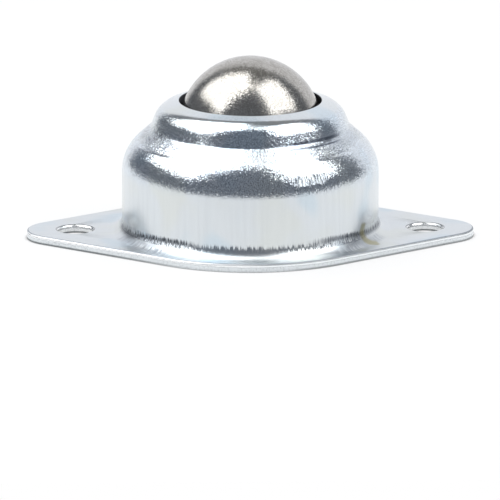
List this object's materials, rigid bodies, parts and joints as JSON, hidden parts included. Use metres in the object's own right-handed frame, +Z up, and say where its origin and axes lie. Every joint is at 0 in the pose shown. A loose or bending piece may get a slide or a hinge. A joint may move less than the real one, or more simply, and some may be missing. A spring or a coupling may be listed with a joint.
{
  "type": "ball transfer unit",
  "caption": "Flange-mounted ball transfer unit: a steel load ball that rolls every way on a bed of support balls in a zinc-plated pressed housing with a diamond flange.",
  "frame": {"origin": "on the mounting plane, under the load ball's centre", "axes": "+X through both bolt holes, +Z up out of the mounting plane, towards the load"},
  "size_m": [0.0792, 0.0512, 0.0325],
  "materials": {
    "zinc_plate": "bright zinc plate over drawn sheet",
    "hardened_steel": "hardened and oiled, dark satin",
    "ball_steel": "satin, slightly worn",
    "support_ball_steel": "polished"
  },
  "bodies": {
    "housing": {"housing_shell": "zinc_plate", "load_cup": "hardened_steel", "bottom_pan": "zinc_plate"},
    "ball_bed": {"support_ball_1": "support_ball_steel", "support_ball_2": "support_ball_steel", "support_ball_3": "support_ball_steel", "support_ball_4": "support_ball_steel", "support_ball_5": "support_ball_steel", "support_ball_6": "support_ball_steel", "support_ball_7": "support_ball_steel", "support_ball_8": "support_ball_steel", "support_ball_9": "support_ball_steel", "support_ball_10": "support_ball_steel", "support_ball_11": "support_ball_steel", "support_ball_12": "support_ball_steel", "support_ball_13": "support_ball_steel", "support_ball_14": "support_ball_steel", "support_ball_15": "support_ball_steel", "support_ball_16": "support_ball_steel", "support_ball_17": "support_ball_steel", "support_ball_18": "support_ball_steel", "return_balls_row_3": "support_ball_steel", "return_balls_row_4": "support_ball_steel", "return_balls_row_5": "support_ball_steel", "return_balls_row_6": "support_ball_steel", "return_balls_row_7": "support_ball_steel"},
    "load_ball": {"load_ball": "ball_steel"}
  },
  "joints": [
    {"name": "ball_swivel", "type": "hinge", "parent": "housing", "child": "ball_bed", "pos_m": [0, 0, 0.0198], "axis": [0, 0, 1], "continuous": true},
    {"name": "ball_roll", "type": "hinge", "parent": "ball_bed", "child": "load_ball", "pos_m": [0, 0, 0.0198], "axis": [1, 0, 0], "continuous": true}
  ]
}
